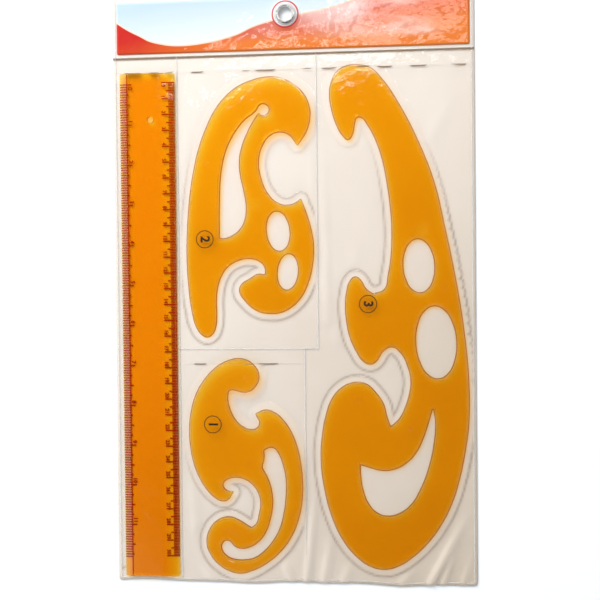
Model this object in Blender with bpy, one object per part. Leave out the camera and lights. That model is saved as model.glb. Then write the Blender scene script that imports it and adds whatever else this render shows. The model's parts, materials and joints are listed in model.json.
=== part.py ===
"""Drawing set: a ruler and three French curves in a hanging pocket wallet.

Frame: metres, +Z up, origin at the centre of the wallet's underside.
The wallet lies on its back sheet, +Y points to the header with the hanging
eyelet and +Z is the clear front. The instruments slide out towards +Y.
Sizes in the outlines are millimetres on the instrument's own grid.
"""
import math

import bmesh
import bpy
from mathutils import Vector

MM = 0.001

# Sheet stock and the play between pieces
BACK_SHEET_THICKNESS = 0.0003
FILM_THICKNESS = 0.0002
CARD_THICKNESS = 0.0003
PLAY = 0.0003
WALLET_CORNER_RADIUS = 0.0025

# Ruler
RULER_LENGTH = 0.3187
RULER_WIDTH = 0.035
RULER_THICKNESS = 0.0022
RULER_INCH_BEVEL_WIDTH = 0.004
RULER_INCH_EDGE_THICKNESS = 0.0012
RULER_CM_BEVEL_WIDTH = 0.010
RULER_CM_EDGE_THICKNESS = 0.0010
RULER_CORNER_RADIUS = 0.0012
RULER_HOLE_RADIUS = 0.0020
RULER_HOLE_FROM_TOP = 0.0291
RULER_HOLE_FROM_INCH_EDGE = 0.0194

# French curves
LARGE_CURVE_LENGTH = 0.3143
MEDIUM_CURVE_LENGTH = 0.1628
SMALL_CURVE_LENGTH = 0.1366
CURVE_THICKNESS = 0.0018
TIP_RADIUS = 0.0009
CORNER_HANDLE_SHARE = 0.55
OUTLINE_STEPS = 6
ELLIPSE_STEPS = 12

# Wallet layout, left to right
RULER_FROM_EDGE = 0.0051
RULER_TO_WELD = 0.0012
WELD_TO_MEDIUM = 0.0053
MEDIUM_TO_WELD = 0.0020
WELD_TO_SMALL = 0.0058
SMALL_TO_WELD = 0.0016
WELD_TO_LARGE = 0.0094
UPPER_WELD_TO_LARGE = 0.0060
LARGE_FROM_EDGE = 0.0042

# Wallet layout, bottom to top
RULER_FROM_BOTTOM = 0.0033
RULER_BELOW_MOUTH = 0.0005
LARGE_FROM_BOTTOM = 0.0096
LARGE_ABOVE_MOUTH = 0.0014
SMALL_FROM_BOTTOM = 0.0056
SMALL_ABOVE_MOUTH = 0.0036
LOWER_LIP_WIDTH = 0.0092
WELD_TO_MEDIUM_FOOT = 0.0072
MEDIUM_BELOW_MOUTH = 0.0048
UPPER_LIP_WIDTH = 0.0099

# Header
WELD_TO_CARD = 0.0021
CARD_HEIGHT = 0.0328
CARD_TO_TOP = 0.0017
CARD_SIDE_MARGIN = 0.0030
CARD_CORNER_RADIUS = 0.0010

# Eyelet
EYELET_BORE_RADIUS = 0.0042
EYELET_WALL = 0.0004
EYELET_FLANGE_RADIUS = 0.0066
EYELET_FLANGE_HEIGHT = 0.0006
EYELET_RIM_RADIUS = 0.0060
EYELET_RIM_HEIGHT = 0.0004
EYELET_FROM_TOP = 0.0125
EYELET_OFFSET = -0.0030
EYELET_SEAT_WIDTH = 0.0010
EYELET_SEAT_SLOPE_WIDTH = 0.0022
EYELET_STEPS = 40

# Pocket film
WALL_LEAN = 0.0003
JOG_HEIGHT = 0.0020

# Outlines: (x, y) is a smooth knot, (x, y, "tip") a corner rounded by TIP_RADIUS
LARGE_OUTER = [
    (-21, 157.4), (-13.5, 155.5), (-7.5, 150), (4.8, 131.5), (15.8, 109.4), (25.5, 83.8),
    (31.5, 57.5), (37.7, 27), (43, -7), (46, -42), (45.8, -64), (43.5, -82), (39.5, -101),
    (35, -115), (28, -129), (19.5, -140.5), (10.5, -149), (2, -154.5), (-6.5, -156.9),
    (-15.5, -155.3), (-24, -149.7), (-32.7, -139.3), (-39.7, -124.5), (-44.3, -107),
    (-46.4, -89.5), (-45.8, -75), (-43, -60), (-39, -49.5), (-33.5, -43.2), (-27.5, -40),
    (-22, -39.4), (-16.5, -41), (-12, -45.2), (-6.7, -53), (-4.6, -61), (-2.5, -67.2, "tip"),
    (2.8, -62), (6.3, -55), (9, -46), (9.8, -39.5), (7.8, -29.5), (3.8, -21.7), (-1.4, -18),
    (-6.3, -20.2), (-11.4, -27.2), (-15, -28.7), (-19.2, -27), (-24, -20), (-27.7, -11.5),
    (-29.8, -1), (-30.4, 8.5), (-29.5, 17), (-27.4, 23.5), (-23.7, 26.3), (-20.2, 24),
    (-17.2, 19), (-12.8, 15.4, "tip"), (-6, 18.3), (-3.7, 27), (-2, 37.5), (-1.3, 55),
    (-2.2, 70), (-4.1, 84.5), (-6.8, 98.5), (-10.9, 110.8), (-15.8, 120.1), (-19.3, 124.3),
    (-21.6, 124.4), (-23, 121), (-23.8, 116.7), (-25.2, 112.8), (-27.6, 110.8), (-31, 113.4),
    (-35, 120.6), (-37.9, 130), (-39.1, 140), (-37.6, 147.8), (-34.5, 153.3), (-29, 156.7),
]
LARGE_CRESCENT = [
    (23.6, -56.1, "tip"), (24.8, -64.5), (23.8, -77.5), (20.7, -92), (15.4, -106), (9.3, -116),
    (2.3, -121.3), (-4.6, -123), (-10.8, -121.4), (-16, -116.2), (-19.4, -108.3),
    (-21, -99.5), (-21.5, -91.4, "tip"), (-15, -93.4), (-8, -95), (0, -94), (7.7, -89.7),
    (13.8, -82.7), (18.2, -73.2), (21.3, -63.8),
]
MEDIUM_OUTER = [
    (12.5, 81.2), (21.5, 80), (29.8, 75.6), (35.5, 70), (38.4, 64), (39.5, 56.4), (36.7, 45.8),
    (31, 37.6, "tip"), (26, 44.2), (20.6, 46.2), (14.5, 44.5), (9.6, 38.6), (6.9, 28.6),
    (8.2, 18.4), (12.3, 8.7), (19, 2.4), (24.3, 1.3), (29.1, 2.4), (33, 5.2, "tip"),
    (37.2, -6.2), (40, -17.2), (40.9, -26), (40.1, -36.2), (37.5, -47), (31.5, -58.3),
    (22.2, -65.4), (13.3, -66.9), (4, -64.8), (-3.2, -58.6), (-6.6, -52.8), (-5.6, -48.4),
    (0.1, -44.5), (5.4, -41.6), (10, -42, "tip"), (9.6, -38), (7, -34.5), (0.2, -32.3), (-8, -33.9),
    (-13.5, -37.3), (-17.5, -42.8), (-20, -50), (-20.9, -58.8), (-20.8, -67.6),
    (-21.6, -75), (-23.8, -79.6), (-27.4, -81.5), (-31, -79.8), (-34.4, -75), (-37.2, -64.5),
    (-39.2, -47), (-39.9, -29.5), (-39.3, -12), (-37.5, 8), (-34.8, 24), (-31, 39),
    (-27, 49.3), (-21.6, 60.1), (-15.4, 68.2), (-8, 74.5), (1.8, 79),
]
MEDIUM_SLOT = [
    (7, 59, "tip"), (8.4, 57.5), (10.9, 57.3), (13, 59.2), (13.3, 61.6), (11.6, 63.5), (9.2, 64.1),
    (7.4, 63.1), (6, 60.6), (3.2, 58), (-1.1, 55), (-6, 49.6), (-10.8, 42.2), (-14, 35),
    (-16.2, 26.6), (-17.5, 17.5), (-18.2, 2.5), (-18.6, -18.9, "tip"), (-15.4, -19),
    (-10.1, -17), (-5.6, -13.2), (-3, -8.4), (-1.8, 0), (-3.3, 10.8), (-5.3, 20.4), (-5.8, 29),
    (-4.3, 37.2), (-1.2, 45.4), (2.6, 52.6), (5, 56.2),
]
SMALL_OUTER = [
    (-2.6, 68.7), (4.8, 65.3), (8.9, 57.5), (6.4, 50.7), (2.3, 47.5), (-2.2, 47.1),
    (-6.7, 48.3), (-9.9, 48.2), (-11, 45), (-10.8, 40.6), (-9.2, 35), (-5.9, 29.3),
    (-1.3, 25.4), (3.7, 24), (7.2, 25.4), (8.3, 28.3), (7.2, 31), (5.8, 34, "tip"),
    (12.4, 36.4), (18.6, 34.5), (24.2, 29.4), (28.6, 22.7), (32, 14.3), (34.2, 4.8),
    (35.6, -9.5), (35.2, -20.7), (33, -32), (28.5, -43.3), (21, -53.7), (11.4, -61.7),
    (2.2, -66.3), (-4.6, -67.9), (-11.4, -66.6), (-18.8, -62.2), (-23.9, -56), (-26.3, -48),
    (-23.9, -39), (-19.1, -33.8), (-14.5, -31.8), (-9.9, -31.6), (-5.4, -33.4),
    (2.8, -38.4, "tip"), (5.6, -35.6), (7.4, -29.5), (8.4, -22.8), (7.3, -17), (3.9, -11.6),
    (-0.5, -8.3), (-6.3, -6.8), (-10.8, -7.5), (-14.2, -9.7), (-14.8, -12.2), (-12.6, -14.7),
    (-8.2, -15.8, "tip"), (-12.5, -21.3), (-16.1, -21.9), (-20.6, -19.7), (-25.7, -14.6),
    (-30.2, -7.3), (-33.6, 1.2), (-35.8, 12.2), (-36.4, 23.5), (-35.2, 34.9), (-31.9, 46),
    (-26.8, 54.8), (-20.3, 62), (-12, 67.1),
]
SMALL_SLOT = [
    (15.5, 12.4), (11.4, 10.8, "tip"), (11.4, 5.1), (10, -0.1, "tip"), (13.6, -6.9),
    (15.8, -14.2), (16.6, -22.7), (15.1, -32.2), (11.6, -41.9), (7, -47.6), (1.2, -51.1),
    (-3.9, -52), (-8.4, -50.5), (-10.9, -47.7), (-13.2, -46.9), (-15.8, -48.7),
    (-16.1, -52.5), (-13.2, -56.4), (-8, -58.6), (-2.2, -58.8), (4, -57.6), (9.9, -53.6),
    (16.1, -46.4), (20.1, -39.4), (23, -29.3), (24.5, -18), (24.6, -6.8), (23, 1.4),
    (20.6, 8), (18, 11.6),
]
# Ellipses: centre x, centre y, half width, half height, turn in degrees
LARGE_ELLIPSES = [(15.5, 32.4, 9.4, 16.4, 3), (25.8, -15, 12.2, 22.3, 3)]
MEDIUM_ELLIPSES = [(18.4, -15.1, 7.1, 12.3, 6), (24.2, -40.6, 6.3, 11.1, -6)]


def clear_scene():
    for existing in list(bpy.data.objects):
        bpy.data.objects.remove(existing, do_unlink=True)


def plastic(name, colour, roughness, metallic=0.0, alpha=1.0):
    finish = bpy.data.materials.new(name)
    finish.use_nodes = True
    shader = finish.node_tree.nodes["Principled BSDF"]
    shader.inputs["Base Color"].default_value = (*colour, 1.0)
    shader.inputs["Roughness"].default_value = roughness
    shader.inputs["Metallic"].default_value = metallic
    shader.inputs["Alpha"].default_value = alpha
    return finish


def add_object(name, mesh, finish, location=(0.0, 0.0, 0.0), lean=0.0):
    piece = bpy.data.objects.new(name, mesh)
    piece.data.materials.append(finish)
    piece.location = location
    piece.rotation_euler = (lean, 0.0, 0.0)
    bpy.context.scene.collection.objects.link(piece)
    return piece


def mesh_from(bm, name):
    bmesh.ops.recalc_face_normals(bm, faces=bm.faces)
    mesh = bpy.data.meshes.new(name)
    bm.to_mesh(mesh)
    bm.free()
    return mesh


def rounded_rectangle(left, bottom, right, top, radius, steps=4):
    corners = [
        (right - radius, top - radius, 0.0),
        (left + radius, top - radius, 90.0),
        (left + radius, bottom + radius, 180.0),
        (right - radius, bottom + radius, 270.0),
    ]
    points = []
    for centre_x, centre_y, start in corners:
        for step in range(steps + 1):
            angle = math.radians(start + 90.0 * step / steps)
            points.append((centre_x + radius * math.cos(angle), centre_y + radius * math.sin(angle)))
    return points


def add_loop(bm, points, height):
    corners = [bm.verts.new((x, y, height)) for x, y in points]
    return [bm.edges.new((corners[i - 1], corners[i])) for i in range(len(corners))]


def plate(name, finish, outline, holes, underside, thickness):
    """Flat sheet with straight edges and through holes."""
    bm = bmesh.new()
    edges = add_loop(bm, outline, underside)
    for hole in holes:
        edges += add_loop(bm, hole, underside)
    bmesh.ops.triangle_fill(bm, edges=edges, use_beauty=True)
    lift(bm, thickness)
    return add_object(name, mesh_from(bm, name), finish)


def lift(bm, thickness):
    grown = bmesh.ops.extrude_face_region(bm, geom=list(bm.faces), use_keep_orig=True)
    raised = [item for item in grown["geom"] if isinstance(item, bmesh.types.BMVert)]
    bmesh.ops.translate(bm, verts=raised, vec=(0.0, 0.0, thickness))


def seated_sheet(name, finish, outline, underside, thickness, seat):
    """Flat sheet with a round raised seat that the eyelet clamps, and its hole."""
    centre_x, centre_y = seat["centre"]
    profile = [
        (seat["foot_radius"], underside),
        (seat["radius"], underside + seat["rise"]),
        (seat["hole_radius"], underside + seat["rise"]),
    ]
    bm = bmesh.new()
    corners = [bm.verts.new((centre_x + radius, centre_y, height)) for radius, height in profile]
    slope = [bm.edges.new(pair) for pair in zip(corners, corners[1:])]
    bmesh.ops.spin(
        bm, geom=corners + slope, cent=(centre_x, centre_y, 0.0), axis=(0, 0, 1),
        angle=2 * math.pi, steps=EYELET_STEPS, use_merge=True)
    foot_ring = [
        edge for edge in bm.edges
        if edge.is_boundary and max(abs(end.co.z - underside) for end in edge.verts) < seat["rise"] / 2
    ]
    edges = add_loop(bm, outline, underside) + foot_ring
    bmesh.ops.triangle_fill(bm, edges=edges, use_beauty=True)
    bmesh.ops.recalc_face_normals(bm, faces=bm.faces)
    if sum(face.normal.z for face in bm.faces) < 0:
        bmesh.ops.reverse_faces(bm, faces=bm.faces)
    lift(bm, thickness)
    return add_object(name, mesh_from(bm, name), finish)


def round_tip(before, tip, after, radius):
    """Two knots on the legs of a corner, with handles that round it."""
    corner = Vector(tip)
    knots = []
    for neighbour in (before, after):
        leg = Vector(neighbour) - corner
        reach = min(radius, leg.length / 3)
        knot = corner + leg.normalized() * reach
        outward = knot + leg.normalized() * (leg.length - reach) / 3
        inward = knot.lerp(corner, CORNER_HANDLE_SHARE)
        knots.append((knot, outward, inward))
    (first, first_out, first_in), (second, second_out, second_in) = knots
    return [(first, first_out, first_in), (second, second_in, second_out)]


def add_smooth_spline(curve, outline, scale):
    """Closed Bezier spline through an outline's knots."""
    knots = []
    for index, knot in enumerate(outline):
        place = tuple(value * scale for value in knot[:2])
        if len(knot) == 2:
            knots.append((Vector(place), None, None))
            continue
        before = tuple(value * scale for value in outline[index - 1][:2])
        after = tuple(value * scale for value in outline[(index + 1) % len(outline)][:2])
        knots += round_tip(before, place, after, TIP_RADIUS)
    spline = curve.splines.new("BEZIER")
    spline.bezier_points.add(len(knots) - 1)
    spline.use_cyclic_u = True
    for point, (place, left, right) in zip(spline.bezier_points, knots):
        point.co = (*place, 0.0)
        if left is None:
            point.handle_left_type = point.handle_right_type = "AUTO"
        else:
            point.handle_left_type = point.handle_right_type = "FREE"
            point.handle_left = (*left, 0.0)
            point.handle_right = (*right, 0.0)


def ellipse_knots(centre_x, centre_y, half_width, half_height, turn_degrees):
    turn = math.radians(turn_degrees)
    knots = []
    for step in range(ELLIPSE_STEPS):
        angle = 2 * math.pi * step / ELLIPSE_STEPS
        across = half_width * math.cos(angle)
        along = half_height * math.sin(angle)
        knots.append((
            centre_x + across * math.cos(turn) - along * math.sin(turn),
            centre_y + across * math.sin(turn) + along * math.cos(turn),
        ))
    return knots


def curve_scale(outer, length):
    heights = [knot[1] for knot in outer]
    return length / (max(heights) - min(heights))


def french_curve_mesh(name, outer, openings, length):
    """Plate of one French curve, its lower left corner box at the origin."""
    scale = curve_scale(outer, length)
    curve = bpy.data.curves.new(name, "CURVE")
    curve.dimensions = "2D"
    curve.fill_mode = "BOTH"
    curve.resolution_u = OUTLINE_STEPS
    curve.extrude = CURVE_THICKNESS / 2
    for outline in [outer] + openings:
        add_smooth_spline(curve, outline, scale)
    guide = bpy.data.objects.new(name + "_outline", curve)
    bpy.context.scene.collection.objects.link(guide)
    bpy.context.view_layer.update()
    filled = bpy.data.meshes.new_from_object(guide.evaluated_get(bpy.context.evaluated_depsgraph_get()))
    bpy.data.objects.remove(guide, do_unlink=True)
    bm = bmesh.new()
    bm.from_mesh(filled)
    bmesh.ops.remove_doubles(bm, verts=bm.verts, dist=0.002 * MM)
    left = min(corner.co.x for corner in bm.verts)
    bottom = min(corner.co.y for corner in bm.verts)
    bmesh.ops.translate(bm, verts=bm.verts, vec=(-left, -bottom, CURVE_THICKNESS / 2))
    return mesh_from(bm, name)


def extent(mesh):
    return (
        max(corner.co.x for corner in mesh.vertices),
        max(corner.co.y for corner in mesh.vertices),
    )


def ruler_mesh():
    """Flat scale, bevelled along both long edges, with a hanging hole."""
    profile = [
        (0.0, 0.0),
        (RULER_WIDTH, 0.0),
        (RULER_WIDTH, RULER_CM_EDGE_THICKNESS),
        (RULER_WIDTH - RULER_CM_BEVEL_WIDTH, RULER_THICKNESS),
        (RULER_INCH_BEVEL_WIDTH, RULER_THICKNESS),
        (0.0, RULER_INCH_EDGE_THICKNESS),
    ]
    bm = bmesh.new()
    face = bm.faces.new([bm.verts.new((x, 0.0, z)) for x, z in profile])
    grown = bmesh.ops.extrude_face_region(bm, geom=[face], use_keep_orig=True)
    far_end = [item for item in grown["geom"] if isinstance(item, bmesh.types.BMVert)]
    bmesh.ops.translate(bm, verts=far_end, vec=(0.0, RULER_LENGTH, 0.0))
    bmesh.ops.recalc_face_normals(bm, faces=bm.faces)
    corners = [
        edge for edge in bm.edges
        if abs(edge.verts[0].co.y - edge.verts[1].co.y) < MM
        and abs(edge.verts[0].co.x - edge.verts[1].co.x) < 0.01 * MM
    ]
    bmesh.ops.bevel(
        bm, geom=corners, offset=RULER_CORNER_RADIUS, segments=4, profile=0.5,
        affect="EDGES", offset_type="OFFSET", material=-1,
    )
    return mesh_from(bm, "ruler")


def drill(piece, centre_x, centre_y, radius, depth):
    bm = bmesh.new()
    bmesh.ops.create_cone(
        bm, cap_ends=True, segments=32, radius1=radius, radius2=radius, depth=depth)
    bmesh.ops.translate(bm, verts=bm.verts, vec=(centre_x, centre_y, 0.0))
    mesh = bpy.data.meshes.new(piece.name + "_drill")
    bm.to_mesh(mesh)
    bm.free()
    cutter = bpy.data.objects.new(piece.name + "_drill", mesh)
    cutter.location = piece.location
    cutter.rotation_euler = piece.rotation_euler
    cutter.hide_render = True
    cutter.display_type = "WIRE"
    bpy.context.scene.collection.objects.link(cutter)
    cut = piece.modifiers.new("hanging_hole", "BOOLEAN")
    cut.operation = "DIFFERENCE"
    cut.solver = "EXACT"
    cut.object = cutter


def eyelet_mesh(flange_underside):
    """Turned eyelet: domed flange in front, barrel, rolled rim behind."""
    barrel = EYELET_BORE_RADIUS + EYELET_WALL
    chamfer = EYELET_WALL / 2
    flange_top = flange_underside + EYELET_FLANGE_HEIGHT
    profile = [
        (EYELET_BORE_RADIUS, chamfer),
        (barrel, 0.0),
        (EYELET_RIM_RADIUS - chamfer, 0.0),
        (EYELET_RIM_RADIUS, EYELET_RIM_HEIGHT / 2),
        (EYELET_RIM_RADIUS - chamfer, EYELET_RIM_HEIGHT),
        (barrel, EYELET_RIM_HEIGHT),
        (barrel, flange_underside),
        (EYELET_FLANGE_RADIUS - chamfer, flange_underside),
        (EYELET_FLANGE_RADIUS, flange_underside + chamfer),
        (EYELET_FLANGE_RADIUS - EYELET_WALL, flange_top - chamfer),
        ((EYELET_FLANGE_RADIUS + barrel) / 2, flange_top),
        (barrel, flange_top - chamfer / 2),
        (EYELET_BORE_RADIUS, flange_top - 2 * chamfer),
    ]
    bm = bmesh.new()
    corners = [bm.verts.new((radius, 0.0, height)) for radius, height in profile]
    edges = [bm.edges.new((corners[i - 1], corners[i])) for i in range(len(corners))]
    bmesh.ops.spin(
        bm, geom=corners + edges, cent=(0, 0, 0), axis=(0, 0, 1), angle=2 * math.pi,
        steps=EYELET_STEPS, use_merge=True)
    bmesh.ops.remove_doubles(bm, verts=bm.verts, dist=0.001 * MM)
    return mesh_from(bm, "eyelet")


def pocket_film(name, finish, stations, left_top, right_top, ceiling, flange_height):
    """Thin tray over one instrument: flange, three near-upright walls and a sloping roof.

    stations are (y, left edge, right edge, raised) from the foot of the pocket to its mouth.
    """
    bm = bmesh.new()
    rows = []
    for y, left_edge, right_edge, raised in stations:
        roof = ceiling(y) if raised else flange_height
        places = [
            (left_edge, flange_height),
            (left_top(y) - WALL_LEAN, flange_height),
            (left_top(y), roof),
            (right_top(y), roof),
            (right_top(y) + WALL_LEAN, flange_height),
            (right_edge, flange_height),
        ]
        rows.append([bm.verts.new((x, y, z)) for x, z in places])
    for near, far in zip(rows, rows[1:]):
        for column in range(len(near) - 1):
            bm.faces.new((near[column], near[column + 1], far[column + 1], far[column]))
    bmesh.ops.recalc_face_normals(bm, faces=bm.faces)
    mesh = bpy.data.meshes.new(name)
    bm.to_mesh(mesh)
    bm.free()
    film = add_object(name, mesh, finish)
    wall = film.modifiers.new("film_thickness", "SOLIDIFY")
    wall.thickness = FILM_THICKNESS
    wall.offset = 1.0
    wall.use_even_offset = True
    return film


def slope_over(obstacles, foot_y, rest_height):
    """Rise per metre that carries an instrument's underside over every obstacle."""
    rises = [(top + PLAY - rest_height) / (y - foot_y) for y, top in obstacles]
    return max(rises)


def build():
    clear_scene()
    amber = plastic("amber_plastic", (0.85, 0.32, 0.01), 0.12, alpha=0.85)
    amber_ruler = plastic("amber_ruler_plastic", (0.80, 0.26, 0.01), 0.12, alpha=0.85)
    back_pvc = plastic("off_white_pvc", (0.80, 0.76, 0.68), 0.45)
    clear_pvc = plastic("clear_pvc_film", (0.95, 0.96, 0.96), 0.10, alpha=0.25)
    card_print = plastic("printed_card", (0.85, 0.25, 0.08), 0.50)
    nickel = plastic("nickel_plate", (0.75, 0.74, 0.72), 0.25, metallic=1.0)

    # Instruments, each with its lower left corner box at its own origin
    large = french_curve_mesh(
        "large_french_curve", LARGE_OUTER,
        [LARGE_CRESCENT] + [ellipse_knots(*each) for each in LARGE_ELLIPSES], LARGE_CURVE_LENGTH)
    medium = french_curve_mesh(
        "medium_french_curve", MEDIUM_OUTER,
        [MEDIUM_SLOT] + [ellipse_knots(*each) for each in MEDIUM_ELLIPSES], MEDIUM_CURVE_LENGTH)
    small = french_curve_mesh("small_french_curve", SMALL_OUTER, [SMALL_SLOT], SMALL_CURVE_LENGTH)
    large_width, large_length = extent(large)
    medium_width, medium_length = extent(medium)
    small_width, small_length = extent(small)

    # Heights from the wallet's bottom edge
    small_top = SMALL_FROM_BOTTOM + small_length
    lower_mouth = small_top - SMALL_ABOVE_MOUTH
    middle_weld = lower_mouth + LOWER_LIP_WIDTH
    medium_foot = middle_weld + WELD_TO_MEDIUM_FOOT
    mouth = max(
        RULER_FROM_BOTTOM + RULER_LENGTH + RULER_BELOW_MOUTH,
        LARGE_FROM_BOTTOM + large_length - LARGE_ABOVE_MOUTH,
        medium_foot + medium_length + MEDIUM_BELOW_MOUTH,
    )
    header_weld = mouth + UPPER_LIP_WIDTH
    card_bottom = header_weld + WELD_TO_CARD
    card_top = card_bottom + CARD_HEIGHT
    wallet_height = card_top + CARD_TO_TOP

    # Widths from the wallet's left edge
    ruler_right = RULER_FROM_EDGE + RULER_WIDTH
    first_weld = ruler_right + RULER_TO_WELD
    medium_left = first_weld + WELD_TO_MEDIUM
    small_left = first_weld + WELD_TO_SMALL
    upper_weld = medium_left + medium_width + MEDIUM_TO_WELD
    lower_weld = small_left + small_width + SMALL_TO_WELD
    large_left = max(lower_weld + WELD_TO_LARGE, upper_weld + PLAY / 2 + WALL_LEAN + PLAY)
    large_upper_left = large_left + min(
        corner.co.x for corner in large.vertices
        if corner.co.y + LARGE_FROM_BOTTOM > middle_weld - UPPER_WELD_TO_LARGE)
    large_left += max(0.0, upper_weld + UPPER_WELD_TO_LARGE - large_upper_left)
    wallet_width = large_left + large_width + LARGE_FROM_EDGE

    # From the wallet's corner to the shared frame
    shift_x = -wallet_width / 2
    shift_y = -wallet_height / 2
    left_edge, right_edge = shift_x, -shift_x
    bottom_edge, top_edge = shift_y, -shift_y
    mouth += shift_y
    lower_mouth += shift_y
    middle_weld += shift_y
    header_weld += shift_y
    first_weld += shift_x
    upper_weld += shift_x
    lower_weld += shift_x

    # Layer heights
    rest_height = BACK_SHEET_THICKNESS + PLAY
    film_level = rest_height
    film_top = film_level + FILM_THICKNESS
    header_film_level = rest_height + CARD_THICKNESS + PLAY
    header_film_top = header_film_level + FILM_THICKNESS
    seat_rise = EYELET_RIM_HEIGHT + PLAY
    flange_underside = header_film_top + seat_rise + PLAY
    flange_top = flange_underside + EYELET_FLANGE_HEIGHT

    # Wallet body
    eyelet_centre = (EYELET_OFFSET, top_edge - EYELET_FROM_TOP)
    seat = {
        "centre": eyelet_centre,
        "hole_radius": EYELET_BORE_RADIUS + EYELET_WALL + PLAY,
        "radius": EYELET_FLANGE_RADIUS + EYELET_SEAT_WIDTH,
        "foot_radius": EYELET_FLANGE_RADIUS + EYELET_SEAT_WIDTH + EYELET_SEAT_SLOPE_WIDTH,
        "rise": seat_rise,
    }
    outline = rounded_rectangle(left_edge, bottom_edge, right_edge, top_edge, WALLET_CORNER_RADIUS)
    seated_sheet("back_sheet", back_pvc, outline, 0.0, BACK_SHEET_THICKNESS, seat)
    card_outline = rounded_rectangle(
        left_edge + CARD_SIDE_MARGIN, card_bottom + shift_y,
        right_edge - CARD_SIDE_MARGIN, card_top + shift_y, CARD_CORNER_RADIUS)
    seated_sheet("header_card", card_print, card_outline, rest_height, CARD_THICKNESS, seat)
    film_outline = rounded_rectangle(
        left_edge + PLAY, header_weld + PLAY / 2, right_edge - PLAY, top_edge - PLAY,
        WALLET_CORNER_RADIUS - PLAY)
    seated_sheet(
        "header_film", clear_pvc, film_outline, header_film_level, FILM_THICKNESS, seat)
    add_object(
        "eyelet", eyelet_mesh(flange_underside), nickel,
        location=(*eyelet_centre, 0.0))
    upper_lip = rounded_rectangle(
        left_edge + PLAY, mouth + PLAY, right_edge - PLAY, header_weld - PLAY / 2, PLAY)
    plate("upper_lip_strip", clear_pvc, upper_lip, [], film_level, FILM_THICKNESS)
    lower_lip = rounded_rectangle(
        first_weld + PLAY / 2, lower_mouth + PLAY, lower_weld - PLAY / 2,
        middle_weld - PLAY / 2, PLAY)
    plate("lower_lip_strip", clear_pvc, lower_lip, [], film_level, FILM_THICKNESS)

    # Each instrument lies on the back sheet at its foot and leans over what it slides across
    instruments = {
        "ruler": {
            "left": RULER_FROM_EDGE + shift_x, "width": RULER_WIDTH,
            "foot": RULER_FROM_BOTTOM + shift_y, "thickness": RULER_THICKNESS,
            "obstacles": [(mouth, film_top), (header_weld, header_film_top)],
        },
        "large_french_curve": {
            "left": large_left + shift_x, "width": large_width,
            "foot": LARGE_FROM_BOTTOM + shift_y, "thickness": CURVE_THICKNESS,
            "obstacles": [(mouth, film_top), (header_weld, header_film_top)],
        },
        "medium_french_curve": {
            "left": medium_left + shift_x, "width": medium_width,
            "foot": medium_foot + shift_y, "thickness": CURVE_THICKNESS,
            "obstacles": [
                (header_weld, header_film_top),
                (eyelet_centre[1] - EYELET_FLANGE_RADIUS, flange_top),
            ],
        },
        "small_french_curve": {
            "left": small_left + shift_x, "width": small_width,
            "foot": SMALL_FROM_BOTTOM + shift_y, "thickness": CURVE_THICKNESS,
        },
    }

    def set_slope(instrument):
        instrument["slope"] = slope_over(instrument["obstacles"], instrument["foot"], rest_height)

    def roof_over(instrument):
        def height(y):
            rise = (y - instrument["foot"]) * instrument["slope"]
            return rest_height + instrument["thickness"] + PLAY + rise
        return height

    for name in ("ruler", "large_french_curve", "medium_french_curve"):
        set_slope(instruments[name])
    medium_roof = roof_over(instruments["medium_french_curve"])
    medium_wall = instruments["medium_french_curve"]["foot"] - 2 * WALL_LEAN - FILM_THICKNESS
    instruments["small_french_curve"]["obstacles"] = [
        (medium_wall, medium_roof(medium_wall) + FILM_THICKNESS),
        (mouth, medium_roof(mouth) + FILM_THICKNESS),
        (eyelet_centre[1] - EYELET_FLANGE_RADIUS, flange_top),
    ]
    set_slope(instruments["small_french_curve"])

    meshes = {
        "ruler": (ruler_mesh(), amber_ruler),
        "large_french_curve": (large, amber),
        "medium_french_curve": (medium, amber),
        "small_french_curve": (small, amber),
    }
    for name, (mesh, finish) in meshes.items():
        instrument = instruments[name]
        place = (instrument["left"], instrument["foot"], rest_height)
        piece = add_object(name, mesh, finish, place, math.atan(instrument["slope"]))
        if name == "ruler":
            drill(
                piece, RULER_HOLE_FROM_INCH_EDGE, RULER_LENGTH - RULER_HOLE_FROM_TOP,
                RULER_HOLE_RADIUS, 4 * RULER_THICKNESS)

    # Pocket films: left and right edges end half a play from the weld they share
    def side(instrument, right):
        edge = instrument["left"] + (instrument["width"] + PLAY if right else -PLAY)
        return lambda y: edge

    def film_over(name, instrument, foot, mouth_y, edges):
        """edges are (y, left edge, right edge) changes, from the foot up."""
        roof = roof_over(instrument)
        left_foot, right_foot = edges[0][1:]
        wall_top = instrument["foot"] - PLAY
        stations = [
            (foot, left_foot, right_foot, False),
            (wall_top - WALL_LEAN, left_foot, right_foot, False),
            (wall_top, left_foot, right_foot, True),
        ]
        stations += [(y, left, right, True) for y, left, right in edges[1:]]
        stations.append((mouth_y, edges[-1][1], edges[-1][2], True))
        pocket_film(
            name, clear_pvc, stations, side(instrument, False), side(instrument, True),
            roof, film_level)

    film_foot = bottom_edge + PLAY
    film_left = left_edge + PLAY
    film_right = right_edge - PLAY
    half = PLAY / 2
    film_over(
        "ruler_pocket_film", instruments["ruler"], film_foot, mouth,
        [(film_foot, film_left, first_weld - half)])
    film_over(
        "medium_curve_pocket_film", instruments["medium_french_curve"], middle_weld + half, mouth,
        [(middle_weld, first_weld + half, upper_weld - half)])
    film_over(
        "small_curve_pocket_film", instruments["small_french_curve"], film_foot, lower_mouth,
        [(film_foot, first_weld + half, lower_weld - half)])
    film_over(
        "large_curve_pocket_film", instruments["large_french_curve"], film_foot, mouth,
        [
            (film_foot, lower_weld + half, film_right),
            (middle_weld - JOG_HEIGHT, lower_weld + half, film_right),
            (middle_weld, upper_weld + half, film_right),
        ])


build()
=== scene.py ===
import json
import math

import bmesh
import bpy
from mathutils import Matrix, Vector, noise
from mathutils.kdtree import KDTree

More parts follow.
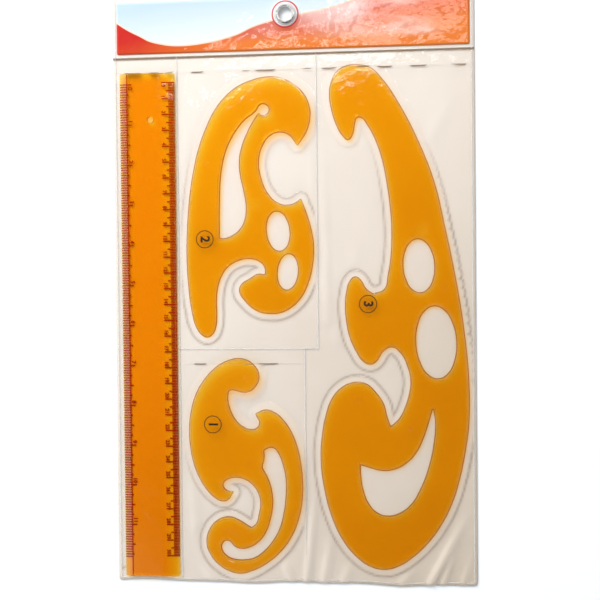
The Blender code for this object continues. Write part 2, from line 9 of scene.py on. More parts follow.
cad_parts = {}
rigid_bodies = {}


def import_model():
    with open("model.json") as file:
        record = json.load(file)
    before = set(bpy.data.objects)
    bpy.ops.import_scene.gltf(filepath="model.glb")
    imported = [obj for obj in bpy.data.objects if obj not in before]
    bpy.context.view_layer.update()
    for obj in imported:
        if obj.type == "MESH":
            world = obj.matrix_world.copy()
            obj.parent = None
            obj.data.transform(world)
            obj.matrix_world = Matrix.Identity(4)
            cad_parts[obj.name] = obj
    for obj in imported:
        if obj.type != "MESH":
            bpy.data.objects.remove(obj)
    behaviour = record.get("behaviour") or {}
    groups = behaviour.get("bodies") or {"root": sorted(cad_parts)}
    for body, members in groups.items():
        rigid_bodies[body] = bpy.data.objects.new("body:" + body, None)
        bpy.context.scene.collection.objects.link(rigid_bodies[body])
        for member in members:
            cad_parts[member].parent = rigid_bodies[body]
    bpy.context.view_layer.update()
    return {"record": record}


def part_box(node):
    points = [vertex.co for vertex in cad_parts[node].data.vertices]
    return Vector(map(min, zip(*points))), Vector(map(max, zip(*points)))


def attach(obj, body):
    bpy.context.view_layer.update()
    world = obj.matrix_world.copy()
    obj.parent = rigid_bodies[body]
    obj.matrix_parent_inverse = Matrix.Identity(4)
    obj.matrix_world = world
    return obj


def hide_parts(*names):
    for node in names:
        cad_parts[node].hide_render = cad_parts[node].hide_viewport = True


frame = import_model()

mm = 0.001


# small tools

class Wire:
    # a number socket that can be added, multiplied and compared like a number
    def __init__(self, graph, socket):
        self.graph = graph
        self.socket = socket

    def maths(self, operation, first, second=0.0):
        node = self.graph.add("ShaderNodeMath", {"operation": operation}, {0: first, 1: second})
        return Wire(self.graph, node.outputs[0])

    def __add__(self, other):
        return self.maths("ADD", self, other)

    def __radd__(self, other):
        return self.maths("ADD", other, self)

    def __sub__(self, other):
        return self.maths("SUBTRACT", self, other)

    def __rsub__(self, other):
        return self.maths("SUBTRACT", other, self)

    def __mul__(self, other):
        return self.maths("MULTIPLY", self, other)

    def __rmul__(self, other):
        return self.maths("MULTIPLY", other, self)

    def __truediv__(self, other):
        return self.maths("DIVIDE", self, other)

    def __pow__(self, other):
        return self.maths("POWER", self, other)

    def __gt__(self, other):
        return self.maths("GREATER_THAN", self, other)

    def __lt__(self, other):
        return self.maths("LESS_THAN", self, other)

    def clamped(self):
        node = self.graph.add("ShaderNodeClamp", {}, {0: self})
        return Wire(self.graph, node.outputs[0])


class Graph:
    # one material and its nodes
    def __init__(self, name):
        self.material = bpy.data.materials.new(name)
        self.material.use_nodes = True
        self.tree = self.material.node_tree
        self.shader = self.tree.nodes["Principled BSDF"]
        self.output = self.tree.nodes["Material Output"]

    def link(self, value, socket):
        if isinstance(value, Wire):
            value = value.socket
        if isinstance(value, bpy.types.NodeSocket):
            self.tree.links.new(value, socket)
        else:
            socket.default_value = value

    def add(self, kind, settings=None, inputs=None):
        node = self.tree.nodes.new(kind)
        for name, value in (settings or {}).items():
            if name == "stops":
                for index, (place, colour) in enumerate(value):
                    while len(node.color_ramp.elements) <= index:
                        node.color_ramp.elements.new(1.0)
                    node.color_ramp.elements[index].position = place
                    node.color_ramp.elements[index].color = (*colour, 1.0)
            elif name == "knots":
                points = node.mapping.curves[0].points
                points[0].location = value[0]
                points[-1].location = value[-1]
                for knot in value[1:-1]:
                    points.new(*knot)
                node.mapping.update()
            else:
                setattr(node, name, value)
        for name, value in (inputs or {}).items():
            self.link(value, node.inputs[name])
        return node

    def set(self, values):
        for name, value in values.items():
            self.link(value, self.shader.inputs[name])

    def place(self):
        return self.add("ShaderNodeTexCoord").outputs["Object"]

    def axes(self):
        node = self.add("ShaderNodeSeparateXYZ", {}, {0: self.place()})
        return [Wire(self, socket) for socket in node.outputs]

    def noise(self, scale, detail=2.0, vector=None, roughness=0.5):
        node = self.add("ShaderNodeTexNoise", {}, {
            "Vector": vector or self.place(), "Scale": scale, "Detail": detail,
            "Roughness": roughness})
        return Wire(self, node.outputs["Fac"])

    def stretched(self, scale):
        return self.add("ShaderNodeMapping", {}, {"Vector": self.place(), "Scale": scale}).outputs[0]

    def ramp(self, value, stops):
        return self.add("ShaderNodeValToRGB", {"stops": stops}, {"Fac": value}).outputs["Color"]

    def mix(self, share, first, second, blend="MIX"):
        node = self.add("ShaderNodeMix", {"data_type": "RGBA", "blend_type": blend}, {0: share})
        self.link(first, node.inputs[6])
        self.link(second, node.inputs[7])
        return node.outputs[2]

    def bump(self, height, strength, distance):
        node = self.add("ShaderNodeBump", {}, {
            "Strength": strength, "Distance": distance, "Height": height})
        return node.outputs["Normal"]


def finishMesh(bm, name, finish, body, nodes=(), sharp=None):
    mesh = bpy.data.meshes.new(name)
    bm.to_mesh(mesh)
    bm.free()
    mesh.materials.append(finish)
    piece = bpy.data.objects.new(name, mesh)
    bpy.context.scene.collection.objects.link(piece)
    if sharp is not None:
        mesh.shade_smooth()
        mesh.set_sharp_from_angle(angle=math.radians(sharp))
    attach(piece, body)
    if nodes:
        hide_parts(*nodes)
    return piece


def smooth(value):
    value = min(max(value, 0.0), 1.0)
    return value * value * (3 - 2 * value)


def jointAxis(name):
    return Vector(next(joint["axis"] for joint in frame["record"]["behaviour"]["joints"]
                       if joint["name"] == name))


# finishes

amberLook = {
    "surface": (1.0, 0.99, 0.95, 1.0),
    "cloud": (1.0, 0.95, 0.93, 1.0),
    # dark red painted on the rims: painted shade along the edges
    "edge": (0.34, 0.02, 0.0, 1.0),
    "absorbs": (0.9995, 0.870, 0.0, 1.0),
    "density": 1500.0, "rulerDensity": 1575.0,
    "through": (0.985, 0.985, 0.985, 1.0),
    "roughness": 0.03,
    "index": 1.45,
}


def amberFinish(name, density):
    # moulded clear plastic: light is tinted by the depth it crosses
    graph = Graph(name)
    mould = graph.noise(60.0, 3.0)
    fine = graph.noise(900.0, 2.0)
    cloud = (graph.noise(16.0, 2.0) * 4.0 - 2.1).clamped()
    body = graph.mix(cloud, amberLook["surface"], amberLook["cloud"])
    # the rims are mixed towards dark red: painted shade along the edges and the step
    red = Wire(graph, graph.add("ShaderNodeAttribute", {"attribute_name": "edgeRed"}).outputs["Fac"])
    graph.set({
        "Base Color": graph.mix(red.clamped(), body, amberLook["edge"]),
        "IOR": amberLook["index"], "Transmission Weight": 1.0,
        "Roughness": fine * 0.04 + amberLook["roughness"],
        "Normal": graph.bump(mould + fine * 0.05, 0.15, 0.0004)})
    volume = graph.add("ShaderNodeVolumeAbsorption", {}, {
        "Color": amberLook["absorbs"], "Density": density})
    graph.link(volume.outputs[0], graph.output.inputs["Volume"])
    # light that only falls through goes straight, so what lies under the plastic is lit
    ray = graph.add("ShaderNodeLightPath")
    falling = Wire(graph, ray.outputs["Is Shadow Ray"]) + Wire(graph, ray.outputs["Is Diffuse Ray"])
    straight = graph.add("ShaderNodeBsdfTransparent", {}, {"Color": amberLook["through"]})
    lit = graph.add("ShaderNodeMixShader", {}, {
        0: falling.clamped(), 1: graph.shader.outputs[0], 2: straight.outputs[0]})
    graph.link(lit.outputs[0], graph.output.inputs["Surface"])
    return graph.material


backLook = {"colour": (0.83, 0.755, 0.69), "shade": (0.56, 0.47, 0.37), "roughness": 0.42}


def backFinish():
    graph = Graph("offWhiteVinyl")
    x, y, z = graph.axes()
    cloud = graph.noise(14.0, 3.0)
    grain = graph.noise(1600.0, 2.0)
    # painted shade: the sheet darkens towards the lower right and over the folds there, with random cloud
    # tone mixed in
    paintedShadeShare = (x * 2.2 - y * 1.5 + cloud * 0.5 - 0.05).clamped()
    colour = graph.mix(paintedShadeShare, (*backLook["colour"], 1.0), (*backLook["shade"], 1.0))
    graph.set({
        "Base Color": colour, "Roughness": cloud * 0.12 + (backLook["roughness"] - 0.06),
        "Normal": graph.bump(grain * 0.3 + cloud, 0.35, 0.0003)})
    return graph.material


filmLook = {
    "tint": (0.99, 0.99, 0.985, 1.0), "shine": 0.022, "glance": 0.7, "roughness": 0.06,
    # the dark brown is painted shade for the film's creases, pocket mouths and the line below the header
    # weld; milk is the haze of the weld beads
    "crease": (0.24, 0.16, 0.10, 1.0), "milk": (0.95, 0.94, 0.92, 1.0),
}


def filmFinish(name, haze=0.0):
    # thin clear vinyl: clear straight through, glossy at a glance, with painted dark shade along its creases
    # and mouths
    graph = Graph(name)
    ripple = graph.noise(55.0, 3.0)
    crinkle = graph.noise(210.0, 2.0)
    normal = graph.bump(ripple + crinkle * 0.2, 0.55, 0.0009)
    gloss = graph.add("ShaderNodeBsdfGlossy", {}, {"Roughness": filmLook["roughness"], "Normal": normal})
    clear = graph.add("ShaderNodeBsdfTransparent", {}, {"Color": filmLook["tint"]})
    facing = graph.add("ShaderNodeLayerWeight", {}, {"Blend": 0.5, "Normal": normal})
    glance = Wire(graph, facing.outputs["Facing"]) ** 5.0
    # without haze this diffuse is the dark brown painted shade, laid on per point by a vertex attribute
    hazeAndPaintedShade = graph.add("ShaderNodeBsdfDiffuse", {}, {"Color": filmLook["milk" if haze else "crease"]})
    share = haze
    if not haze:
        share = Wire(graph, graph.add("ShaderNodeAttribute", {"attribute_name": "crease"}).outputs["Fac"])
    body = graph.add("ShaderNodeMixShader", {}, {0: share, 1: clear.outputs[0], 2: hazeAndPaintedShade.outputs[0]})
    coat = graph.add("ShaderNodeMixShader", {}, {
        0: glance * filmLook["glance"] + filmLook["shine"], 1: body.outputs[0], 2: gloss.outputs[0]})
    graph.link(coat.outputs[0], graph.output.inputs["Surface"])
    graph.tree.nodes.remove(graph.shader)
    return graph.material


inkLook = {"scale": (0.42, 0.012, 0.002), "mark": (0.02, 0.015, 0.012), "roughness": 0.4}


def inkFinish(name, colour):
    graph = Graph(name)
    wear = graph.noise(700.0, 2.0)
    dark = tuple(channel * 0.6 for channel in colour)
    graph.set({"Base Color": graph.mix(wear, (*dark, 1.0), (*colour, 1.0)),
               "Roughness": inkLook["roughness"]})
    return graph.material


def nickelFinish():
    graph = Graph("nickelPlate")
    smudge = graph.noise(300.0, 3.0)
    graph.set({
        "Base Color": graph.ramp(smudge, [(0.3, (0.62, 0.61, 0.59)), (0.7, (0.82, 0.81, 0.79))]),
        "Metallic": 1.0, "Roughness": smudge * 0.15 + 0.12,
        "Normal": graph.bump(smudge, 0.1, 0.0001)})
    return graph.material


cardLook = {
    "sky": (0.52, 0.66, 0.76), "white": (0.80, 0.84, 0.87), "line": (0.80, 0.66, 0.52),
    "red": (0.56, 0.012, 0.006), "orange": (0.74, 0.18, 0.010),
    "pink": (0.80, 0.56, 0.53), "disc": (0.84, 0.84, 0.86), "discRadius": 0.0076,
    # height of the wave's edge above the card's foot, along the card, as shares of its size
    "wave": [(0.0, 0.60), (0.06, 0.36), (0.13, 0.17), (0.18, 0.13), (0.25, 0.16), (0.33, 0.27),
             (0.41, 0.48), (0.5, 0.62), (0.6, 0.74), (0.70, 0.92), (0.78, 1.0), (1.0, 1.0)],
}


def cardFinish(low, high, eyelet):
    graph = Graph("printedCard")
    x, y, z = graph.axes()
    along = (x - low.x) / (high.x - low.x)
    up = (y - low.y) / (high.y - low.y)
    curve = graph.add("ShaderNodeFloatCurve", {"knots": cardLook["wave"]}, {"Value": along})
    edge = Wire(graph, curve.outputs[0])
    streak = graph.noise(30.0, 4.0, graph.stretched((0.5, 1.5, 1.0)))
    colour = {name: (*value, 1.0) for name, value in cardLook.items() if name not in ("wave", "discRadius")}
    field = graph.mix((up * 1.1 - along * 0.9 + 0.1).clamped(), colour["white"], colour["sky"])
    fire = graph.mix(((1 - up) * 0.9 + along * 1.2 - 0.7).clamped(), colour["red"], colour["orange"])
    wash = graph.mix(((streak - 0.42) * 5.0 * (along * 2.4 - 0.75).clamped()).clamped(), fire, colour["pink"])
    foot = graph.mix(((0.32 - up) * 6.0).clamped() * (along * 3.0 - 0.2).clamped(), wash, colour["orange"])
    bordered = graph.mix((edge + 0.03) > up, field, colour["line"])
    printed = graph.mix(edge > up, bordered, foot)
    fromHole = ((x - eyelet.x) ** 2.0 + (y - eyelet.y) ** 2.0) ** 0.5
    ringed = graph.mix(fromHole < cardLook["discRadius"] + 0.0009, printed, colour["red"])
    graph.set({
        "Base Color": graph.mix(fromHole < cardLook["discRadius"], ringed, colour["disc"]),
        "Roughness": 0.35, "Normal": graph.bump(graph.noise(900.0), 0.05, 0.0001)})
    return graph.material


# instruments

instruments = {
    "ruler": {"node": "ruler", "thickness": 2.2 * mm},
    "large_curve": {
        "node": "large_french_curve", "piece": "largeFrenchCurve", "thickness": 1.8 * mm,
        "pips": [(26.8, 290.9), (56.0, 87.7), (23.2, 105.1), (77.0, 175.6)],
        "gate": (64.3, 211.8), "mark": (30.5, 166.0), "number": "3",
    },
    "medium_curve": {
        "node": "medium_french_curve", "piece": "mediumFrenchCurve", "thickness": 1.8 * mm,
        "pips": [(47.5, 153.6), (13.4, 109.3), (69.8, 131.6), (41.5, 101.2)],
        "gate": (44.5, 84.4), "mark": (12.0, 62.0), "number": "2",
    },
    "small_curve": {
        "node": "small_french_curve", "piece": "smallFrenchCurve", "thickness": 1.8 * mm,
        "pips": [(36.7, 124.3), (38.6, 71.1), (65.0, 37.2), (24.8, 28.0)],
        "gate": None, "mark": (15.5, 95.0), "number": "1",
    },
}

# The edge of a curve, as (distance in from the outline, height): a thin inking edge that
# steps up to the full thickness
edgeProfile = [(0.12, 0.0), (0.0, 0.12), (0.0, 0.78), (0.1, 0.88), (0.55, 0.90), (1.0, 0.92), (1.25, 1.05),
               (1.75, 1.66), (2.05, 1.8)]
# How much painted dark-red shade each ring of the edge gets: strongest along the wall and land, again on the
# step
edgeRed = [0.0, 1.0, 1.0, 1.0, 0.75, 0.05, 0.42, 0.28, 0.0]


def plateMatrix(name):
    # from a plate's own flat frame, lower left corner at the origin, to where it leans
    low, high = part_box(instruments[name]["node"])
    axis = jointAxis(name + "_slide")
    lean = math.atan2(axis.z, axis.y)
    return Matrix.Translation(low) @ Matrix.Rotation(lean, 4, "X")


def flatLoops(name):
    # the outline and openings of a CAD plate, in its flat frame; material on the left
    source = bpy.data.objects[instruments[name]["node"]]
    bm = bmesh.new()
    bm.from_mesh(source.data)
    bm.transform(plateMatrix(name).inverted())
    bmesh.ops.remove_doubles(bm, verts=bm.verts, dist=0.003 * mm)
    bm.normal_update()
    rim = [edge for edge in bm.edges
           if len(edge.link_faces) == 2
           and max(corner.co.z for corner in edge.verts) < 0.3 * mm
           and min(face.normal.z for face in edge.link_faces) < -0.9
           and max(abs(face.normal.z) for face in edge.link_faces) > 0.9
           and min(abs(face.normal.z) for face in edge.link_faces) < 0.5]
    ahead = {}
    for edge in rim:
        first, second = edge.verts
        ahead.setdefault(first, []).append(second)
        ahead.setdefault(second, []).append(first)
    loops = []
    while ahead:
        start = next(iter(ahead))
        loop = [start]
        previous, current = None, start
        while True:
            following = [corner for corner in ahead.pop(current) if corner is not previous]
            step = next((corner for corner in following if corner in ahead), None)
            if step is None:
                break
            loop.append(step)
            previous, current = current, step
        loops.append([Vector((corner.co.x, corner.co.y)) for corner in loop])
    bm.free()
    loops.sort(key=lambda loop: -abs(signedArea(loop)))
    for index, loop in enumerate(loops):
        if (signedArea(loop) > 0) != (index == 0):
            loop.reverse()
    return loops


def signedArea(loop):
    return sum(loop[i - 1].cross(loop[i]) for i in range(len(loop))) / 2


def treeOf(loops):
    points = [point for loop in loops for point in loop]
    tree = KDTree(len(points))
    for index, point in enumerate(points):
        tree.insert((point.x, point.y, 0.0), index)
    tree.balance()
    return tree


def insetReach(point, inward, tree, distance):
    # how far in a ring may move before it meets the ring from the other side
    reach = distance
    while reach > 0.02 * mm:
        spot = point + inward * reach
        if tree.find((spot.x, spot.y, 0.0))[2] >= 0.9 * reach:
            break
        reach *= 0.85
    return reach


def inwardNormals(loop):
    normals = []
    for index, point in enumerate(loop):
        before, after = loop[index - 1], loop[(index + 1) % len(loop)]
        along = (after - point).normalized() + (point - before).normalized()
        normals.append(Vector((-along.y, along.x)).normalized())
    return normals


def ringEdges(bm, places, height):
    corners = [bm.verts.new((place.x, place.y, height)) for place in places]
    return corners, [bm.edges.new((corners[i - 1], corners[i])) for i in range(len(corners))]


def growRing(bm, corners, edges, places, height):
    # extrudes a ring and moves the new one to its places
    grown = bmesh.ops.extrude_edge_only(bm, edges=edges)
    fresh = {item for item in grown["geom"] if isinstance(item, bmesh.types.BMVert)}
    newEdges = [item for item in grown["geom"] if isinstance(item, bmesh.types.BMEdge)
                and item.verts[0] in fresh and item.verts[1] in fresh]
    newCorners = []
    for corner, place in zip(corners, places):
        partner = next(edge.other_vert(corner) for edge in corner.link_edges
                       if edge.other_vert(corner) in fresh)
        partner.co = (place.x, place.y, height)
        newCorners.append(partner)
    return newCorners, newEdges


def circlePlaces(centre, radius, steps=28):
    turns = [2 * math.pi * step / steps for step in range(steps)]
    return [centre + Vector((math.cos(turn), math.sin(turn))) * radius for turn in turns]


def frenchCurve(name, finish):
    values = instruments[name]
    loops = values["loops"]
    tree = treeOf(loops)
    bm = bmesh.new()
    red = bm.verts.layers.float.new("edgeRed")
    footEdges, topEdges = [], []
    for loop in loops:
        normals = inwardNormals(loop)
        reaches = [insetReach(point, inward, tree, edgeProfile[-1][0] * mm)
                   for point, inward in zip(loop, normals)]
        for _ in range(3):  # even out neighbouring reaches
            reaches = [min(reaches[i], (reaches[i - 1] + reaches[i] + reaches[(i + 1) % len(reaches)]) / 3)
                       for i in range(len(reaches))]
        corners, edges = None, None
        for (inset, height), edgeShadeShare in zip(edgeProfile, edgeRed):
            share = inset / edgeProfile[-1][0]
            places = [point + inward * reach * share
                      for point, inward, reach in zip(loop, normals, reaches)]
            if corners is None:
                corners, edges = ringEdges(bm, places, height * mm)
                footEdges += edges
            else:
                corners, edges = growRing(bm, corners, edges, places, height * mm)
            for corner in corners:
                corner[red] = edgeShadeShare
        topEdges += edges
    top = edgeProfile[-1][1] * mm
    bumps = [(Vector(pip) * mm, 1.45 * mm, 1.0 * mm, 0.22 * mm) for pip in values["pips"]]
    if values["gate"]:
        bumps.append((Vector(values["gate"]) * mm, 3.5 * mm, 3.1 * mm, -0.35 * mm))
    bumpRings = [ringEdges(bm, circlePlaces(centre, wide), top) for centre, wide, _, _ in bumps]
    bmesh.ops.triangle_fill(bm, edges=topEdges + [edge for _, ring in bumpRings for edge in ring],
                            use_beauty=True)
    bmesh.ops.triangle_fill(bm, edges=footEdges, use_beauty=True)
    for (centre, wide, narrow, rise), (corners, edges) in zip(bumps, bumpRings):
        mid = (wide + narrow) / 2
        corners, edges = growRing(bm, corners, edges, circlePlaces(centre, mid), top + rise * 0.7)
        corners, edges = growRing(bm, corners, edges, circlePlaces(centre, narrow), top + rise)
        bmesh.ops.contextual_create(bm, geom=edges)
    bmesh.ops.recalc_face_normals(bm, faces=bm.faces)
    bm.transform(plateMatrix(name))
    return finishMesh(bm, values["piece"], finish, name, [values["node"]], 14)


def rulerPiece(finish):
    # the CAD ruler with its arrises taken off
    bm = bmesh.new()
    bm.from_mesh(bpy.data.objects["ruler"].data)
    bmesh.ops.remove_doubles(bm, verts=bm.verts, dist=0.003 * mm)
    bmesh.ops.dissolve_limit(bm, angle_limit=math.radians(1), verts=bm.verts, edges=bm.edges)
    arrises = [edge for edge in bm.edges if edge.is_manifold and edge.calc_face_angle() > math.radians(20)]
    bmesh.ops.bevel(bm, geom=arrises, offset=0.14 * mm, segments=2, profile=0.5,
                    affect="EDGES", material=-1, clamp_overlap=True)
    return finishMesh(bm, "rulerBlank", finish, "ruler", ["ruler"], 4)


scaleLook = {
    "zeroFromTop": 5.8, "inchDrop": 0.8, "centimetres": 30, "sixteenths": 190,
    "depth": 0.03, "gap": 0.02, "line": 0.66, "strongLine": 0.8, "inchLine": 0.75,
    "millimetre": 4.0, "half": 5.6, "whole": 8.4, "borderAt": 4.1, "border": 0.5,
    # length of every sixteenth, eighth and fourth mark, and of the others
    "inch": [(16, 7.4), (8, 6.2), (4, 5.4), (1, 4.1)],
    "digits": 3.3, "inchDigits": 3.6,
}


def addTick(bm, x0, x1, y, width, low, high):
    made = bmesh.ops.create_cube(bm, size=1.0)
    size = Vector((x1 - x0, width, high - low))
    middle = Vector(((x0 + x1) / 2, y, (low + high) / 2))
    bmesh.ops.scale(bm, vec=size, verts=made["verts"])
    bmesh.ops.translate(bm, vec=middle, verts=made["verts"])


def addText(bm, words, size, place, turn, depth):
    # generic numbers, as thin solids
    text = bpy.data.curves.new("figure", "FONT")
    text.body = words
    text.size = size
    text.align_x = "CENTER"
    text.align_y = "CENTER"
    text.extrude = depth / 2
    text.offset = size * 0.03
    text.resolution_u = 3
    holder = bpy.data.objects.new("figure", text)
    bpy.context.scene.collection.objects.link(holder)
    bpy.context.view_layer.update()
    mesh = bpy.data.meshes.new_from_object(holder.evaluated_get(bpy.context.evaluated_depsgraph_get()))
    mesh.transform(Matrix.Translation(place) @ Matrix.Rotation(turn, 4, "Z"))
    bm.from_mesh(mesh)
    bpy.data.objects.remove(holder, do_unlink=True)
    bpy.data.meshes.remove(mesh)
    bpy.data.curves.remove(text)


def rulerScale(finish):
    # centimetres down the right, inches down the left, printed under the ruler
    low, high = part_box("ruler")
    length = high.y - low.y
    look = {name: value * mm if isinstance(value, float) else value for name, value in scaleLook.items()}
    top = -look["gap"]
    foot = top - look["depth"]
    middle = (foot + top) / 2
    zero = length - look["zeroFromTop"]
    right = high.x - low.x - 0.1 * mm
    bm = bmesh.new()
    for count in range(10 * look["centimetres"] + 1):
        reach = look["whole"] if count % 10 == 0 else look["half"] if count % 5 == 0 else look["millimetre"]
        line = look["line"] if count % 5 else look["strongLine"]
        addTick(bm, right - reach, right, zero - count * mm, line, foot, top)
    inch = 25.4 * mm
    zeroInch = zero - look["inchDrop"]
    for count in range(look["sixteenths"]):
        reach = next(reach for step, reach in look["inch"] if count % step == 0)
        addTick(bm, 0.1 * mm, reach * mm, zeroInch - count * inch / 16, look["inchLine"], foot, top)
    addTick(bm, look["borderAt"], look["borderAt"] + look["border"], length / 2, length - 0.6 * mm, foot, top)
    quarter = -math.pi / 2
    for number in range(look["centimetres"] + 1):
        rise = 1.5 * mm + 0.9 * mm * (number > 9) if number else -1.9 * mm
        spot = Vector((right - 7.3 * mm, zero - number * 10 * mm + rise, middle))
        addText(bm, str(number), look["digits"], spot, quarter, look["depth"])
    for number in range(12):
        rise = 2.2 * mm + 0.7 * mm * (number > 9) if number else -2.4 * mm
        spot = Vector((6.4 * mm, zeroInch - number * inch + rise, middle))
        addText(bm, str(number), look["inchDigits"], spot, quarter, look["depth"])
    bmesh.ops.remove_doubles(bm, verts=bm.verts, dist=0.001 * mm)
    bmesh.ops.recalc_face_normals(bm, faces=bm.faces)
    bm.transform(plateMatrix("ruler"))
    return finishMesh(bm, "rulerScale", finish, "ruler", ())


def indexMark(name, finish):
    # a plain number and ring on each curve
    values = instruments[name]
    centre = Vector(values["mark"]) * mm
    bm = bmesh.new()
    top = values["thickness"] + 0.04 * mm
    addText(bm, values["number"], 8.0 * mm, Vector((centre.x, centre.y, top)), -math.pi / 2, 0.03 * mm)
    bmesh.ops.remove_doubles(bm, verts=bm.verts, dist=0.001 * mm)
    corners, edges = ringEdges(bm, circlePlaces(centre, 5.6 * mm, 48), top - 0.015 * mm)
    outer = (corners, edges)
    inner = growRing(bm, corners, edges, circlePlaces(centre, 5.1 * mm, 48), top - 0.015 * mm)
    innerTop = growRing(bm, inner[0], inner[1], circlePlaces(centre, 5.1 * mm, 48), top + 0.015 * mm)
    outerTop = growRing(bm, innerTop[0], innerTop[1], circlePlaces(centre, 5.6 * mm, 48),
                        top + 0.015 * mm)
    bmesh.ops.bridge_loops(bm, edges=outer[1] + outerTop[1])
    bmesh.ops.recalc_face_normals(bm, faces=bm.faces)
    bm.transform(plateMatrix(name))
    return finishMesh(bm, values["piece"] + "Mark", finish, name, ())


# wallet

walletLook = {
    # sizes in millimetres
    "cell": 1.0, "wideCell": 1.1, "backCell": 1.4, "film": 0.2, "back": 0.3, "card": 0.3,
    "filmLevel": 0.62, "cardLevel": 0.6,
    "cling": 4.6, "filmGap": 0.14, "weldRun": 1.3, "mouthLift": 1.3,
    # the last sets how strong the painted shade line is where the film settles onto the back sheet
    "creaseWidth": 0.8, "creaseHeight": 0.16, "paintedShadeStrength": 0.2,
    # folds: start, end, half width, height
    "folds": [
        ((107, -142), (84, -185), 2.6, 1.9), ((101, -160), (92, -185), 1.8, 1.2),
        ((110, -166), (104, -185), 1.6, 0.8), ((74, -172), (66, -185), 3.0, 0.8),
        ((13.0, -128), (7.5, -185), 2.2, 1.3), ((24, -150), (18, -185), 3.0, 1.0),
        ((36, -170), (30, -185), 3.0, 0.8), ((-64, -150), (-52, -185), 4.0, 0.6),
        ((-8, -168), (-2, -185), 2.5, 0.9), ((-67, -60), (-63, -150), 3.0, 0.35),
        ((44, 40), (30, -30), 5.0, 0.4), ((100, 120), (72, 66), 5.0, 0.4),
        ((-66, 120), (-69, -20), 2.4, 0.4), ((12, 100), (13, 20), 2.0, 0.3),
        ((20, 90), (22, -20), 2.4, 0.4),
    ],
}


def awayFromLine(first, second, spot):
    line = second - first
    share = min(max((spot - first).dot(line) / line.length_squared, 0.0), 1.0)
    return (spot - (first + line * share)).length, share


class Bed:
    # heights of the sheets over and under the instruments
    def __init__(self):
        self.low, self.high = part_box("back_sheet")
        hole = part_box("eyelet")
        self.eyelet = (hole[0] + hole[1]) / 2
        self.outlines = {}
        for name, values in instruments.items():
            matrix = plateMatrix(name)
            outer = [matrix @ Vector((point.x, point.y, 0.0)) for point in values["loops"][0]]
            outer = [Vector((point.x, point.y)) for point in outer]
            self.outlines[name] = (outer, treeOf([outer]), *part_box(values["node"]))

    def outside(self, name, spot):
        # distance outside an instrument's outline, negative inside it
        outer, tree, low, high = self.outlines[name]
        away = max(low.x - spot.x, spot.x - high.x, low.y - spot.y, spot.y - high.y)
        if away > 12 * mm:
            return away
        gap = tree.find((spot.x, spot.y, 0.0))[2]
        crossings = False
        for index in range(len(outer)):
            first, second = outer[index - 1], outer[index]
            if (first.y > spot.y) != (second.y > spot.y):
                if spot.x < first.x + (spot.y - first.y) * (second.x - first.x) / (second.y - first.y):
                    crossings = not crossings
        return -gap if crossings else gap

    def wave(self, spot, gap):
        # gentle waves and creases, flat under the instruments
        free = smooth((gap - 2 * mm) / (7 * mm))
        roll = noise.noise((spot.x * 22, spot.y * 9, 3.1)) * 0.5 + 0.5
        height = roll * 0.35 * mm * free
        for first, second, half, rise in walletLook["folds"]:
            away, share = awayFromLine(Vector(first) * mm, Vector(second) * mm, spot)
            height += rise * mm * math.exp(-(away / (half * mm)) ** 2) * free * smooth(0.25 + share)
        edge = min(spot.x - self.low.x, self.high.x - spot.x, spot.y - self.low.y)
        return height * smooth(edge / (3 * mm) + 0.35)

    def foot(self, x, y):
        # the cut edge wanders a little along the foot of the wallet
        reach = smooth(1 - (y - self.low.y) / (14 * mm))
        return y + reach * mm * (0.55 * math.sin(x * 60 + 0.6) + 0.35 * math.sin(x * 135 + 2))

    def seat(self, spot):
        away = (spot - Vector((self.eyelet.x, self.eyelet.y))).length
        return 0.7 * mm * (1 - smooth((away - 7.4 * mm) / (2.6 * mm)))


def gridSheet(name, box, cell, shape, thickness, finish, nodes, hole=None, cut=None, corner=0.0):
    # a cut sheet: shape gives each point's height and how much painted shade its film gets
    left, bottom, right, top = box
    bm = bmesh.new()
    columns = max(2, round((right - left) / (cell * mm)))
    rows = max(2, round((top - bottom) / (cell * mm)))
    bmesh.ops.create_grid(bm, x_segments=columns, y_segments=rows, size=0.5)
    bmesh.ops.translate(bm, verts=bm.verts, vec=(0.5, 0.5, 0.0))
    bmesh.ops.scale(bm, verts=bm.verts, vec=(right - left, top - bottom, 1.0))
    bmesh.ops.translate(bm, verts=bm.verts, vec=(left, bottom, 0.0))
    if cut:
        cutRectangle(bm, cell, **cut)
    if hole:
        punch(bm, *hole)
    if corner:
        roundCorners(bm, box, corner)
    paintedShadeLayer = bm.verts.layers.float.new("crease")
    for point in bm.verts:
        point.co.z, point[paintedShadeLayer] = shape(Vector((point.co.x, point.co.y)))
        point.co.y = bed.foot(point.co.x, point.co.y)
    bm.normal_update()
    if sum(face.normal.z for face in bm.faces) < 0:
        bmesh.ops.reverse_faces(bm, faces=bm.faces)
    piece = finishMesh(bm, name, finish, "wallet", nodes, 60)
    wall = piece.modifiers.new("thickness", "SOLIDIFY")
    wall.thickness = thickness
    wall.offset = 1.0
    wall.use_even_offset = False
    return piece


def cutRectangle(bm, cell, x, y, sideX, sideY):
    # takes away the corner beyond x and y, and straightens the cut
    reach = cell * mm * 0.55
    gone = [face for face in bm.faces
            if (face.calc_center_median().x - x) * sideX > 0
            and (face.calc_center_median().y - y) * sideY > 0]
    bmesh.ops.delete(bm, geom=gone, context="FACES")
    for point in bm.verts:
        if point.is_boundary and (point.co.y - y) * sideY > -reach and abs(point.co.x - x) <= reach:
            point.co.x = x
        if point.is_boundary and (point.co.x - x) * sideX > -reach and abs(point.co.y - y) <= reach:
            point.co.y = y


def punch(bm, centre, radius):
    flat = Vector((centre.x, centre.y, 0.0))
    gone = [face for face in bm.faces if (face.calc_center_median() - flat).length < radius]
    bmesh.ops.delete(bm, geom=gone, context="FACES")
    for point in bm.verts:
        if point.is_boundary and (point.co - flat).length < 2 * radius:
            point.co = flat + (point.co - flat).normalized() * radius


